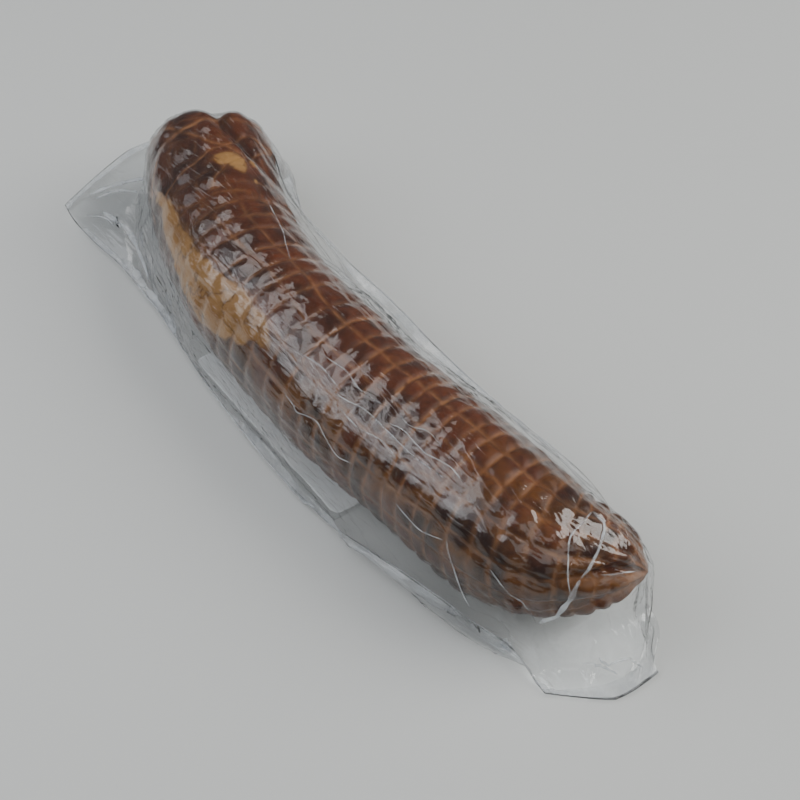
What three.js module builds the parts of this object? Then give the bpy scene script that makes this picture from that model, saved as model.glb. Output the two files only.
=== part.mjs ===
// A smoked, net-tied cured sausage in its clear vacuum pouch, with a blank label.
// Units are millimetres. The sausage lies along X and bulges to -Y, +Z is up.
// The origin is the middle of the underside of the whole pack's box.
import * as THREE from 'three';

// ---- driving dimensions -------------------------------------------------------------

const FILM_THICKNESS = 0.4; // each pouch film, drawn heavier than the real 0.1 film
const LABEL_THICKNESS = 0.2;
const FIT_GAP = 0.3; // air between pieces that touch
const FACET_ALLOWANCE = 0.3; // how far a flat facet cuts inside the round shape
const UPPER_CLEARANCE = FIT_GAP + FACET_ALLOWANCE;
const LOWER_CLEARANCE = 2 * FIT_GAP + LABEL_THICKNESS + FACET_ALLOWANCE;

// The sausage. Its middle line seen from above, from the blunt end to the tapered end.
const MIDDLE_LINE = [
  [-221, 8],
  [-165, -23],
  [-90, -44],
  [0, -47],
  [90, -39],
  [165, -26],
  [215, 8],
];
// Its radius along the middle line, as [share of the length, radius].
const RADII = [
  [0, 41],
  [0.3, 43],
  [0.5, 44],
  [0.7, 44.5],
  [0.85, 45.5],
  [1, 45.5],
];
const BLUNT_END_LENGTH = 26;
const BLUNT_END_POWER = 1.9;
const TAPER_LENGTH = 90;
const TAPER_POWER = 1.5;
const TIP_RISE = 3; // the tapered end lifts off the surface
const FLATTENING = 2; // how far its own weight presses the underside flat
const CLEFT_DEPTH = 0.3; // share of the radius that the cleft takes at the blunt end
const CLEFT_LENGTH = 46;
const CLEFT_ANGLE = 1.25; // radians up from +Y
const CLEFT_WIDTH = 0.34;
const PLEAT_COUNT = 7;
const PLEAT_DEPTH = 0.05;
const SAUSAGE_RINGS = 42;
const SAUSAGE_SIDES = 32;

// The pouch. Each row is one line across it, from its blunt-end edge to its taper-end edge:
// left seam [x, y, z], right seam [x, y, z], and how far the line bows along X.
const POUCH_LINES = [
  [[-256, -83, 2], [-262, 36, 5], -14],
  [[-240, -86, 3], [-243, 40, 16], -8],
  [[-215, -86, 4], [-217, 41, 34], -2],
  [[-186, -84, 5], [-186, 37, 45], 0],
  [[-142, -85, 6], [-142, 20, 45], 0],
  [[-90, -91.5, 7], [-85, 15.5, 45], 0],
  [[-40, -96, 7], [-35, 14.5, 45], 0],
  [[10, -97.5, 7], [15, 14.5, 45], 0],
  [[55, -95, 7], [60, 16, 45], 0],
  [[95, -90.5, 7], [100, 20, 45], 0],
  [[135, -82, 6], [138, 24, 45], 0],
  [[163, -74.5, 5], [168, 26, 45], 0],
  [[192, -66, 4], [200, 24, 40], 2],
  [[208, -66, 3], [225, 12, 22], 5],
  [[220.5, -66.2, 2], [247.5, -7.4, 3], 13],
];
const POUCH_STATIONS = 40;
const POUCH_POINTS = 21; // points across each film
const OUTLINE_POINTS = 400; // steps round one tight outline
const HALVINGS = 30; // halvings of the pouch's length while a place along it is found
const TENT_REACH = 12; // how far past the sausage the film still stands off the surface

// The label, a blank A6 sheet between the sausage and the lower film.
const LABEL_LENGTH = 148;
const LABEL_WIDTH = 105;
const LABEL_START_X = -95;
const LABEL_OUTER_Y = -88; // its straight outer edge, just inside the left seam
const LABEL_ROWS = 12;
const LABEL_POINTS = 14;
const LABEL_FINE_STEPS = 200; // steps round the lower film while the label's edges are found

// ---- small helpers ------------------------------------------------------------------

/** Smooth curve through [x, y] or [x, y, z] rows. */
function smoothLine(rows) {
  const corners = rows.map(([x, y, z = 0]) => new THREE.Vector3(x, y, z));
  return new THREE.CatmullRomCurve3(corners, false, 'catmullrom', 0.5);
}

/** Value at `share` in a table of [share, value] rows. */
function lookUp(table, share) {
  const next = Math.max(1, table.findIndex(([edge]) => edge >= share));
  const [from, low] = table[next - 1];
  const [to, high] = table[next];
  return THREE.MathUtils.lerp(low, high, (share - from) / (to - from));
}

/** Geometry from points and triangles that share their corners. */
function meshGeometry(points, triangles) {
  const geometry = new THREE.BufferGeometry();
  geometry.setAttribute('position', new THREE.Float32BufferAttribute(points.flatMap((p) => p.toArray()), 3));
  geometry.setIndex(triangles.flat());
  geometry.computeVertexNormals();
  return geometry;
}

/** Closed body through rings of points, with one pole at each end. */
function roundBody(startPole, rings, endPole) {
  const sides = rings[0].length;
  const points = [startPole, ...rings.flat(), endPole];
  const at = (ring, side) => 1 + ring * sides + (side % sides);
  const last = points.length - 1;
  const triangles = [];
  for (let side = 0; side < sides; side += 1) {
    triangles.push([0, at(0, side + 1), at(0, side)]);
    triangles.push([last, at(rings.length - 1, side), at(rings.length - 1, side + 1)]);
    for (let ring = 0; ring < rings.length - 1; ring += 1) {
      triangles.push([at(ring, side), at(ring, side + 1), at(ring + 1, side + 1)]);
      triangles.push([at(ring, side), at(ring + 1, side + 1), at(ring + 1, side)]);
    }
  }
  return meshGeometry(points, triangles);
}

/** Closed thin body between two matching grids of points, `face` outside and `back` inside. */
function sheetBody(face, back) {
  const rows = face.length;
  const columns = face[0].length;
  const points = [...face.flat(), ...back.flat()];
  const front = (row, column) => row * columns + column;
  const rear = (row, column) => rows * columns + front(row, column);
  const triangles = [];
  const quad = (a, b, c, d) => triangles.push([a, b, c], [a, c, d]);
  for (let row = 0; row < rows - 1; row += 1) {
    for (let column = 0; column < columns - 1; column += 1) {
      quad(front(row, column), front(row + 1, column), front(row + 1, column + 1), front(row, column + 1));
      quad(rear(row, column), rear(row, column + 1), rear(row + 1, column + 1), rear(row + 1, column));
    }
    quad(front(row, 0), rear(row, 0), rear(row + 1, 0), front(row + 1, 0));
    const end = columns - 1;
    quad(front(row, end), front(row + 1, end), rear(row + 1, end), rear(row, end));
  }
  for (let column = 0; column < columns - 1; column += 1) {
    const end = rows - 1;
    quad(front(0, column), front(0, column + 1), rear(0, column + 1), rear(0, column));
    quad(front(end, column), rear(end, column), rear(end, column + 1), front(end, column + 1));
  }
  return meshGeometry(points, triangles);
}

// ---- the sausage --------------------------------------------------------------------

const middleLine = smoothLine(MIDDLE_LINE);
const sausageLength = middleLine.getLength();
const restHeight = LOWER_CLEARANCE + FILM_THICKNESS; // underside of the sausage

/** Share of the full radius left at `distance` from the blunt end, from 0 at the pole to 1. */
function endShape(distance) {
  const blunt = THREE.MathUtils.clamp(1 - distance / BLUNT_END_LENGTH, 0, 1);
  const taper = THREE.MathUtils.clamp(1 - (sausageLength - distance) / TAPER_LENGTH, 0, 1);
  return (1 - blunt ** BLUNT_END_POWER) ** (1 / BLUNT_END_POWER) * Math.sqrt(1 - taper ** TAPER_POWER);
}

/** Point of the sausage's skin at a share of its length and an angle round it. */
function skinPoint(share, angle) {
  const distance = share * sausageLength;
  const centre = middleLine.getPointAt(share);
  const along = middleLine.getTangentAt(share);
  const across = new THREE.Vector3(-along.y, along.x, 0);
  const fullRadius = lookUp(RADII, share);
  const taper = THREE.MathUtils.clamp(1 - (sausageLength - distance) / TAPER_LENGTH, 0, 1);
  const cleftFade = THREE.MathUtils.clamp(1 - distance / CLEFT_LENGTH, 0, 1);
  const cleft = CLEFT_DEPTH * cleftFade * Math.exp(-(((angle - CLEFT_ANGLE) / CLEFT_WIDTH) ** 2));
  const pleats = PLEAT_DEPTH * taper ** 2 * (1 - Math.cos(PLEAT_COUNT * angle));
  const radius = fullRadius * endShape(distance) * (1 - cleft - pleats);
  const height = restHeight + fullRadius - FLATTENING + TIP_RISE * taper ** 2;
  const point = centre.addScaledVector(across, radius * Math.cos(angle));
  point.z = Math.max(restHeight, height + radius * Math.sin(angle));
  return point;
}

/** Rings of skin points, closer together at the ends. */
function skinRings(rings, sides) {
  const result = [];
  for (let ring = 1; ring < rings; ring += 1) {
    const share = (1 - Math.cos((Math.PI * ring) / rings)) / 2;
    const angleAt = (side) => (2 * Math.PI * side) / sides - Math.PI / 2;
    result.push(Array.from({ length: sides }, (_, side) => skinPoint(share, angleAt(side))));
  }
  return result;
}

function sausageGeometry() {
  return roundBody(skinPoint(0, 0), skinRings(SAUSAGE_RINGS, SAUSAGE_SIDES), skinPoint(1, 0));
}

// ---- the pouch ----------------------------------------------------------------------

const leftSeam = smoothLine(POUCH_LINES.map(([left]) => left));
const rightSeam = smoothLine(POUCH_LINES.map(([, right]) => right));
const bows = POUCH_LINES.map(([, , bow], line) => [line / (POUCH_LINES.length - 1), bow]);
const skinCloud = skinRings(4 * SAUSAGE_RINGS, 2 * SAUSAGE_SIDES).flat();

/** The line across the pouch at a share of its length: its two seams and its bow. */
function pouchLine(share) {
  const left = leftSeam.getPoint(share);
  const right = rightSeam.getPoint(share);
  const bow = lookUp(bows, share);
  const xAt = (y) => {
    const part = THREE.MathUtils.clamp((y - left.y) / (right.y - left.y), 0, 1);
    return THREE.MathUtils.lerp(left.x, right.x, part) + bow * 4 * part * (1 - part);
  };
  return { left, right, xAt };
}

/** Corners of the tight outline round flat points, counter-clockwise. */
function tightOutline(points) {
  const sorted = [...points].sort((a, b) => a.x - b.x || a.y - b.y);
  const halfOutline = (ordered) => {
    const chain = [];
    for (const point of ordered) {
      while (chain.length > 1) {
        const last = chain[chain.length - 1];
        const step = new THREE.Vector2().subVectors(last, chain[chain.length - 2]);
        if (step.cross(new THREE.Vector2().subVectors(point, last)) > 0) break;
        chain.pop();
      }
      chain.push(point);
    }
    return chain.slice(0, -1);
  };
  return [...halfOutline(sorted), ...halfOutline(sorted.reverse())];
}

/** Points at even steps along a chain of corners. */
function evenPoints(corners, count) {
  const steps = corners.slice(1).map((corner, index) => corner.distanceTo(corners[index]));
  const total = steps.reduce((sum, step) => sum + step, 0);
  const result = [];
  let index = 0;
  let passed = 0;
  for (let k = 0; k < count; k += 1) {
    const target = (total * k) / (count - 1);
    while (index < steps.length - 1 && passed + steps[index] < target) {
      passed += steps[index];
      index += 1;
    }
    const part = (target - passed) / steps[index];
    result.push(new THREE.Vector2().lerpVectors(corners[index], corners[index + 1], part));
  }
  return result;
}

/** Moves a chain sideways by `distance`, to the left of its direction. */
function offsetChain(chain, distance) {
  return chain.map((point, index) => {
    const before = chain[Math.max(0, index - 1)];
    const after = chain[Math.min(chain.length - 1, index + 1)];
    const along = new THREE.Vector2().subVectors(after, before).normalize();
    return new THREE.Vector2(point.x - along.y * distance, point.y + along.x * distance);
  });
}

/** The taut film across the pouch, from left seam to right seam, as flat [y, z] points. */
function tautChain(line, side) {
  const near = skinCloud.filter((p) => Math.abs(p.x - line.xAt(p.y)) < TENT_REACH);
  const flat = near.map((p) => new THREE.Vector2(p.y, p.z));
  const left = new THREE.Vector2(line.left.y, line.left.z);
  const right = new THREE.Vector2(line.right.y, line.right.z);
  flat.push(left, right);
  const corners = tightOutline(flat);
  const loop = evenPoints([...corners, corners[0]], OUTLINE_POINTS + 1).slice(0, -1);
  const nearest = (target) => {
    const gaps = loop.map((point) => point.distanceTo(target));
    return gaps.indexOf(Math.min(...gaps));
  };
  const start = nearest(left);
  const turned = [...loop.slice(start), ...loop.slice(0, start)];
  const split = (nearest(right) - start + OUTLINE_POINTS) % OUTLINE_POINTS;
  return side < 0 ? turned.slice(0, split + 1) : [...turned.slice(split), turned[0]].reverse();
}

/** Grid of points over the pouch, `clearance` outside the taut outline. */
function filmGrid(side, clearance) {
  const rows = [];
  for (let station = 0; station < POUCH_STATIONS; station += 1) {
    const line = pouchLine(station / (POUCH_STATIONS - 1));
    const chain = evenPoints(tautChain(line, side), POUCH_POINTS);
    rows.push(offsetChain(chain, side * clearance).map((p) => new THREE.Vector3(line.xAt(p.x), p.x, p.y)));
  }
  return rows;
}

function upperFilmGeometry() {
  return sheetBody(filmGrid(1, UPPER_CLEARANCE + FILM_THICKNESS), filmGrid(1, UPPER_CLEARANCE));
}

function lowerFilmGeometry() {
  return sheetBody(filmGrid(-1, LOWER_CLEARANCE), filmGrid(-1, LOWER_CLEARANCE + FILM_THICKNESS));
}

// ---- the label ----------------------------------------------------------------------

/** Share of the pouch's length whose left seam reaches `x`. */
function shareAtX(x) {
  let low = 0;
  let high = 1;
  for (let step = 0; step < HALVINGS; step += 1) {
    const middle = (low + high) / 2;
    if (leftSeam.getPoint(middle).x < x) low = middle;
    else high = middle;
  }
  return low;
}

/** Grid of points over the label, `clearance` below the taut outline. */
function labelGrid(clearance) {
  const rows = [];
  for (let row = 0; row < LABEL_ROWS; row += 1) {
    const x = LABEL_START_X + (LABEL_LENGTH * row) / (LABEL_ROWS - 1);
    const line = pouchLine(shareAtX(x));
    const chain = tautChain(line, -1);
    const fine = offsetChain(evenPoints(chain, LABEL_FINE_STEPS + 1), -clearance);
    const length = fine.slice(1).reduce((sum, p, index) => sum + p.distanceTo(fine[index]), 0);
    const inset = LABEL_OUTER_Y - line.left.y;
    const first = Math.round((inset / length) * LABEL_FINE_STEPS);
    const last = Math.round(((inset + LABEL_WIDTH) / length) * LABEL_FINE_STEPS);
    const strip = evenPoints(fine.slice(first, last + 1), LABEL_POINTS);
    rows.push(strip.map((p) => new THREE.Vector3(x, p.x, p.y)));
  }
  return rows;
}

function labelGeometry() {
  const top = LOWER_CLEARANCE - FIT_GAP - LABEL_THICKNESS - FACET_ALLOWANCE / 2;
  return sheetBody(labelGrid(top), labelGrid(top + LABEL_THICKNESS));
}

// ---- the pack -----------------------------------------------------------------------

const group = new THREE.Group();

function addPiece(name, geometry, material) {
  const mesh = new THREE.Mesh(geometry, new THREE.MeshStandardMaterial(material));
  mesh.name = name;
  group.add(mesh);
}

const SAUSAGE_FINISH = { color: 0x5a2a14, roughness: 0.45, metalness: 0 };
const FILM_FINISH = { color: 0xdfe4e6, roughness: 0.12, metalness: 0, transparent: true, opacity: 0.3 };
const LABEL_FINISH = { color: 0xf2f4f3, roughness: 0.6, metalness: 0 };

addPiece('sausage', sausageGeometry(), SAUSAGE_FINISH);
addPiece('pouch_upper_film', upperFilmGeometry(), FILM_FINISH);
addPiece('pouch_lower_film', lowerFilmGeometry(), FILM_FINISH);
addPiece('label', labelGeometry(), LABEL_FINISH);

const box = new THREE.Box3().setFromObject(group);
group.position.set(-(box.min.x + box.max.x) / 2, -(box.min.y + box.max.y) / 2, -box.min.z);
group.updateMatrixWorld(true);

export default group;
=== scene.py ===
"""A smoked, net-tied sausage in its clear vacuum pouch, with its blank label and its studio."""

import logging
import math
from dataclasses import dataclass, field

import bpy
import numpy as np
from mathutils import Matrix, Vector, noise
from mathutils.bvhtree import BVHTree


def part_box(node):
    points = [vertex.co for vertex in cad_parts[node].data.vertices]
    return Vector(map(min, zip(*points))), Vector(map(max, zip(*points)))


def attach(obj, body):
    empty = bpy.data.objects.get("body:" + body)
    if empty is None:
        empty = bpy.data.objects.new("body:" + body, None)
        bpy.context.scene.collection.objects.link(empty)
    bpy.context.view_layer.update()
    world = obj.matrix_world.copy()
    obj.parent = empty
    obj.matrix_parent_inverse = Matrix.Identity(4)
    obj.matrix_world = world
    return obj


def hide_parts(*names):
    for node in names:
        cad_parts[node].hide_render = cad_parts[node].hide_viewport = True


MM = 0.001
FULL_TURN = 2 * math.pi
UPWARD = np.array([0.0, 0.0, 1.0])
SEED_STEP = 17.3
LOG = logging.getLogger("sausage_pack")

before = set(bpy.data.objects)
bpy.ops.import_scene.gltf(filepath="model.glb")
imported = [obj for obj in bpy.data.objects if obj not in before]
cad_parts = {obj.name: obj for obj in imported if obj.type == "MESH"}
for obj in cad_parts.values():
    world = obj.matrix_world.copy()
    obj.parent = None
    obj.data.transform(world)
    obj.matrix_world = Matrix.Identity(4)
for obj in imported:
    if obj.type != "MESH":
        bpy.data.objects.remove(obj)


# ---- shared helpers -----------------------------------------------------------------


def smooth_step(low: float, high: float, value: np.ndarray) -> np.ndarray:
    """Eased share from 0 at low to 1 at high.

    Args:
        low: where the share leaves 0.
        high: where it reaches 1.
        value: the numbers to ease.

    Returns:
        The shares.
    """
    share = np.clip((value - low) / (high - low), 0.0, 1.0)
    return share * share * (3.0 - 2.0 * share)


def noise_at(points: np.ndarray, size: float, seed: float) -> np.ndarray:
    """Smooth noise from -1 to 1 at each point.

    Args:
        points: rows or grids of x, y, z.
        size: how far apart the noise's lumps are, in the points' unit.
        seed: moves the pattern, so that two uses differ.

    Returns:
        One value for each point, in the same rows or grids.
    """
    scaled = points.reshape(-1, 3) / size + seed * SEED_STEP
    return np.array([noise.noise(Vector(row)) for row in scaled]).reshape(points.shape[:-1])


def ridge(distance: np.ndarray, width: float) -> np.ndarray:
    """Rounded ridge, 1 on its line and fading over width."""
    return np.exp(-((distance / width) ** 2))


def lengths_along(points: np.ndarray) -> np.ndarray:
    """Length along a row of points, from the first one to each."""
    return np.concatenate([[0.0], np.cumsum(np.linalg.norm(np.diff(points, axis=0), axis=1))])


def even_steps(corners: np.ndarray, count: int) -> np.ndarray:
    """Points at even steps along a chain of corners.

    Args:
        corners: the chain, one row for each corner.
        count: how many points to give.

    Returns:
        The points, the first and last on the chain's ends.
    """
    passed = lengths_along(corners)
    wanted = np.linspace(0.0, passed[-1], count)
    return np.stack([np.interp(wanted, passed, column) for column in corners.T], axis=1)


def smooth_curve(corners: np.ndarray, count: int) -> np.ndarray:
    """Smooth curve through its corners, as evenly numbered points.

    Args:
        corners: rows that the curve passes through.
        count: how many points to give.

    Returns:
        The points along the curve.
    """
    ends = np.vstack([2 * corners[0] - corners[1], corners, 2 * corners[-1] - corners[-2]])
    place = np.linspace(0.0, len(corners) - 1, count)
    first = np.minimum(place.astype(int), len(corners) - 2)
    part = (place - first)[:, None]
    before, start, stop, after = (ends[first + k] for k in range(4))
    leave = (stop - before) / 2
    arrive = (after - start) / 2
    cubic = (2 * start - 2 * stop + leave + arrive) * part**3
    square = (-3 * start + 3 * stop - 2 * leave - arrive) * part**2
    return cubic + square + leave * part + start


def grid_piece(
    name: str, points: np.ndarray, closed: bool = False, values: dict[str, np.ndarray] | None = None
) -> bpy.types.Object:
    """Makes a grid primitive and moves its corners to a matching grid of points.

    Args:
        name: the piece's name.
        points: rows by columns by x, y, z, in metres.
        closed: whether the last column lies on the first one and the end rows on single points.
        values: named grids of numbers that its material reads.

    Returns:
        The piece, with its place in its mesh.
    """
    rows, columns = points.shape[:2]
    bpy.ops.object.select_all(action="DESELECT")
    bpy.ops.mesh.primitive_grid_add(x_subdivisions=columns - 1, y_subdivisions=rows - 1, size=1)
    piece = bpy.context.object
    piece.name = piece.data.name = name
    piece.data.vertices.foreach_set("co", points.reshape(-1))
    piece.data.update()
    for key, numbers in (values or {}).items():
        attribute = piece.data.attributes.new(key, "FLOAT", "POINT")
        attribute.data.foreach_set("value", numbers.reshape(-1).astype(np.float32))
    if closed:
        bpy.ops.object.mode_set(mode="EDIT")
        bpy.ops.mesh.select_all(action="SELECT")
        bpy.ops.mesh.remove_doubles(threshold=1e-6)
        bpy.ops.mesh.normals_make_consistent(inside=False)
        bpy.ops.object.mode_set(mode="OBJECT")
    bpy.ops.object.shade_smooth()
    return piece


def thicken(piece: bpy.types.Object, thickness: float) -> None:
    """Gives a sheet its thickness.

    Args:
        piece: the sheet.
        thickness: how thick it becomes, in millimetres.
    """
    modifier = piece.modifiers.new("thickness", "SOLIDIFY")
    modifier.thickness = thickness * MM
    modifier.offset = 0
    bpy.context.view_layer.objects.active = piece
    bpy.ops.object.modifier_apply(modifier="thickness")


def dress(piece: bpy.types.Object, finish: bpy.types.Material, node: str = "") -> None:
    """Gives a piece its finish and its place in the frame.

    Args:
        piece: the piece.
        finish: its material.
        node: the plain piece that it stands in for, if there is one.
    """
    piece.data.materials.append(finish)
    if node:
        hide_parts(node)
    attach(piece, "root")


# ---- node building ------------------------------------------------------------------


def grain_group() -> bpy.types.NodeTree:
    """The noise that every finish uses, as one node group.

    Returns:
        The group, made at its first use.
    """
    if "grain" in bpy.data.node_groups:
        return bpy.data.node_groups["grain"]
    tree = bpy.data.node_groups.new("grain", "ShaderNodeTree")
    for name in ("Shift", "Stretch"):
        tree.interface.new_socket(name=name, in_out="INPUT", socket_type="NodeSocketVector")
    for name in ("Scale", "Detail"):
        tree.interface.new_socket(name=name, in_out="INPUT", socket_type="NodeSocketFloat")
    tree.interface.new_socket(name="Grain", in_out="OUTPUT", socket_type="NodeSocketFloat")
    entry, place, mapping, texture, leave = (
        tree.nodes.new(kind)
        for kind in (
            "NodeGroupInput",
            "ShaderNodeTexCoord",
            "ShaderNodeMapping",
            "ShaderNodeTexNoise",
            "NodeGroupOutput",
        )
    )
    tree.links.new(place.outputs["Object"], mapping.inputs["Vector"])
    tree.links.new(entry.outputs["Shift"], mapping.inputs["Location"])
    tree.links.new(entry.outputs["Stretch"], mapping.inputs["Scale"])
    tree.links.new(mapping.outputs["Vector"], texture.inputs["Vector"])
    tree.links.new(entry.outputs["Scale"], texture.inputs["Scale"])
    tree.links.new(entry.outputs["Detail"], texture.inputs["Detail"])
    tree.links.new(texture.outputs["Fac"], leave.inputs["Grain"])
    return tree


class Shader:
    """A material's node tree, with short ways to add what the finishes use."""

    def __init__(self, name: str) -> None:
        """Starts an empty material with an output."""
        self.material = bpy.data.materials.new(name)
        self.material.use_nodes = True
        self.tree = self.material.node_tree
        self.tree.nodes.clear()
        self.output = self.add("ShaderNodeOutputMaterial")

    def add(self, kind: str, **settings: object) -> bpy.types.Node:
        """Adds a node.

        Args:
            kind: the node's type.
            settings: its properties by name.

        Returns:
            The node.
        """
        node = self.tree.nodes.new(kind)
        for key, value in settings.items():
            setattr(node, key, value)
        return node

    def link(self, source: bpy.types.NodeSocket, target: bpy.types.NodeSocket) -> None:
        """Joins an output socket to an input socket."""
        self.tree.links.new(source, target)

    def feed(self, value: object, target: bpy.types.NodeSocket) -> None:
        """Links a socket to the target, or sets the target to a plain value.

        Args:
            value: a socket, number or colour.
            target: the input socket.
        """
        if isinstance(value, bpy.types.NodeSocket):
            self.link(value, target)
        else:
            target.default_value = value

    def attribute(self, name: str) -> bpy.types.NodeSocket:
        """A number kept on the mesh."""
        return self.add("ShaderNodeAttribute", attribute_name=name).outputs["Fac"]

    def grain(
        self, scale: float, detail: float, seed: float, stretch: tuple[float, float, float] = (1, 1, 1)
    ) -> bpy.types.NodeSocket:
        """Noise from 0 to 1.

        Args:
            scale: lumps in a metre.
            detail: how many finer layers it has.
            seed: moves the pattern.
            stretch: scale along each axis.

        Returns:
            The noise value's socket.
        """
        node = self.add("ShaderNodeGroup", node_tree=grain_group())
        node.inputs["Shift"].default_value = (seed, seed * 0.7, seed * 1.3)
        node.inputs["Stretch"].default_value = stretch
        node.inputs["Scale"].default_value = scale
        node.inputs["Detail"].default_value = detail
        return node.outputs["Grain"]

    def math(self, operation: str, first: object, second: object = 0.0) -> bpy.types.NodeSocket:
        """Works on two numbers or sockets.

        Args:
            operation: which operation.
            first: its first value.
            second: its second value.

        Returns:
            The result's socket.
        """
        node = self.add("ShaderNodeMath", operation=operation)
        self.feed(first, node.inputs[0])
        self.feed(second, node.inputs[1])
        return node.outputs[0]

    def times(self, first: object, second: object) -> bpy.types.NodeSocket:
        """The product of two numbers or sockets."""
        return self.math("MULTIPLY", first, second)

    def remap(
        self, value: object, low: float, high: float, to_low: float = 0.0, to_high: float = 1.0
    ) -> bpy.types.NodeSocket:
        """Eases a value from one range to another and keeps it inside.

        Args:
            value: the number or socket.
            low: where the range that it comes from starts.
            high: where that range ends.
            to_low: the result at low.
            to_high: the result at high.

        Returns:
            The result's socket.
        """
        node = self.add("ShaderNodeMapRange", interpolation_type="SMOOTHSTEP")
        for socket, number in zip(list(node.inputs)[:5], (value, low, high, to_low, to_high)):
            self.feed(number, socket)
        return node.outputs["Result"]

    def mix(self, share: object, first: object, second: object) -> bpy.types.NodeSocket:
        """A colour between two others.

        Args:
            share: 0 for the first one and 1 for the second one.
            first: a colour or a socket.
            second: a colour or a socket.

        Returns:
            The mixed colour's socket.
        """
        node = self.add("ShaderNodeMix", data_type="RGBA")
        self.feed(share, node.inputs["Factor"])
        self.feed(first, node.inputs[6])
        self.feed(second, node.inputs[7])
        return node.outputs[2]

    def seam(self, grain: bpy.types.NodeSocket, width: float, high: float = 1.0) -> bpy.types.NodeSocket:
        """Thin lines where a noise passes its middle, high on the line and 0 at width from it."""
        off = self.math("ABSOLUTE", self.math("SUBTRACT", grain, 0.5))
        return self.remap(off, 0.0, width, high, 0.0)

    def bump(self, height: object, distance: float, strength: float = 1.0) -> bpy.types.NodeSocket:
        """A normal that follows a height.

        Args:
            height: a number or socket.
            distance: what a height of 1 stands for, in metres.
            strength: share of the effect.

        Returns:
            The normal's socket.
        """
        node = self.add("ShaderNodeBump")
        node.inputs["Strength"].default_value = strength
        node.inputs["Distance"].default_value = distance
        self.feed(height, node.inputs["Height"])
        return node.outputs["Normal"]

    def principled(self, sockets: dict[str, object]) -> bpy.types.NodeSocket:
        """Adds a Principled shader.

        Args:
            sockets: what each of its named inputs is fed or set to.

        Returns:
            The shader's socket.
        """
        node = self.add("ShaderNodeBsdfPrincipled")
        for name, value in sockets.items():
            self.feed(value, node.inputs[name])
        return node.outputs[0]

    def finished(self, surface: bpy.types.NodeSocket) -> bpy.types.Material:
        """Puts a surface on the output and gives the material."""
        self.link(surface, self.output.inputs["Surface"])
        return self.material


def rgb(red: float, green: float, blue: float) -> tuple[float, float, float, float]:
    """A solid colour with full alpha."""
    return (red, green, blue, 1.0)


@dataclass(frozen=True)
class SmokedSkin:
    """Finish of the sausage's skin: dark smoke, redder and amber patches, net lines, bare tan patches."""

    dark: tuple = rgb(0.011, 0.0019, 0.0003)
    red: tuple = rgb(0.082, 0.0185, 0.0040)
    amber: tuple = rgb(0.112, 0.038, 0.0028)
    net: tuple = rgb(0.235, 0.102, 0.038)
    tan: tuple = rgb(0.27, 0.140, 0.043)
    pale: tuple = rgb(0.34, 0.205, 0.082)
    crack: tuple = rgb(0.075, 0.030, 0.008)
    roughness: float = 0.45
    gloss: float = 0.20

    def material(self) -> bpy.types.Material:
        """Builds the material.

        Returns:
            The material.
        """
        shader = Shader("smoked_skin")
        blotches = shader.remap(shader.grain(34, 6, 1.0), 0.40, 0.68)
        base = shader.mix(blotches, self.dark, self.red)
        redder = shader.remap(shader.grain(75, 5, 6.0), 0.30, 0.62, 0.25, 1.0)
        base = shader.mix(shader.times(shader.attribute("redness"), redder), base, self.red)
        golden = shader.remap(shader.grain(55, 4, 5.0), 0.36, 0.62)
        base = shader.mix(shader.times(shader.attribute("amber"), golden), base, self.amber)
        speckle = shader.remap(shader.grain(260, 4, 2.0), 0.40, 0.68, 0.0, 0.45)
        base = shader.mix(speckle, base, self.dark)
        wear = shader.remap(shader.grain(140, 4, 3.0), 0.28, 0.58, 0.12, 1.0)
        base = shader.mix(shader.times(shader.attribute("net"), wear), base, self.net)
        uneven = shader.times(shader.grain(110, 5, 4.0), 0.7)
        bare = shader.remap(shader.math("ADD", shader.attribute("bare"), uneven), 0.62, 1.12)
        smoked = shader.remap(shader.grain(48, 5, 7.0), 0.50, 0.80, 0.0, 0.7)
        flesh = shader.mix(smoked, self.tan, self.amber)
        fat = shader.remap(shader.grain(130, 4, 11.0), 0.52, 0.72, 0.0, 0.5)
        flesh = shader.mix(fat, flesh, self.pale)
        cracks = shader.seam(shader.grain(42, 4, 13.0, (1.0, 0.45, 1.0)), 0.02, 0.65)
        flesh = shader.mix(cracks, flesh, self.crack)
        height = shader.math("ADD", shader.grain(430, 4, 8.0), shader.times(shader.grain(140, 4, 9.0), 2.4))
        skin = shader.principled(
            {
                "Base Color": shader.mix(bare, base, flesh),
                "Roughness": self.roughness,
                "Specular IOR Level": self.gloss,
                "Normal": shader.bump(height, 0.3 * MM, 0.6),
            }
        )
        return shader.finished(skin)


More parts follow.
